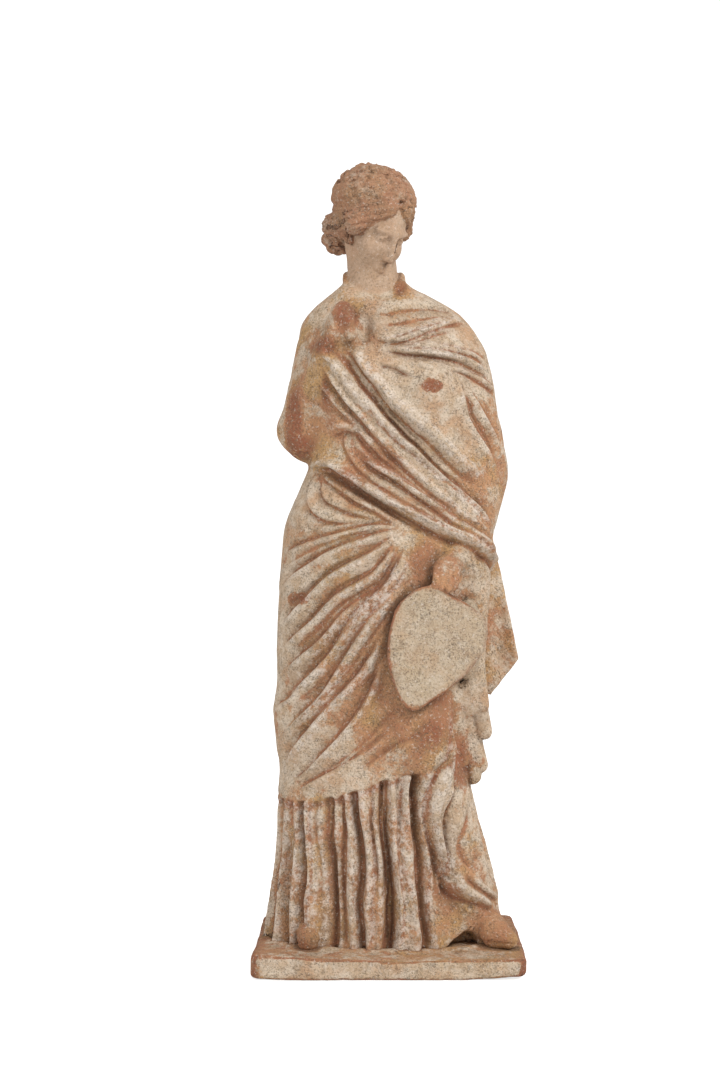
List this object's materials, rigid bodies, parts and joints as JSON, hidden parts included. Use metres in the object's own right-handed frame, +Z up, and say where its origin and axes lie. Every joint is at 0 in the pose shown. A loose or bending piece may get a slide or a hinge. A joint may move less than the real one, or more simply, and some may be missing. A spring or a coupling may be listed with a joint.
{
  "type": "votive statuette",
  "caption": "Fired clay votive statuette of a standing woman in a cloak and pleated dress, holding a leaf-shaped fan, on a thin rectangular clay plinth.",
  "frame": {"origin": "middle of the underside of the plinth", "axes": "+Z up, +Y towards the figure's back, so that she faces -Y, and +X towards her left hand and the fan"},
  "size_m": [0.086, 0.068, 0.2592],
  "materials": {
    "slipped_clay": "matt orange clay under a worn, speckled cream slip",
    "plinth_clay": "matt orange clay with a worn cream slip, rubbed at the edges"
  },
  "bodies": {
    "root": {"draped_woman": "slipped_clay", "plinth": "plinth_clay"}
  },
  "joints": []
}
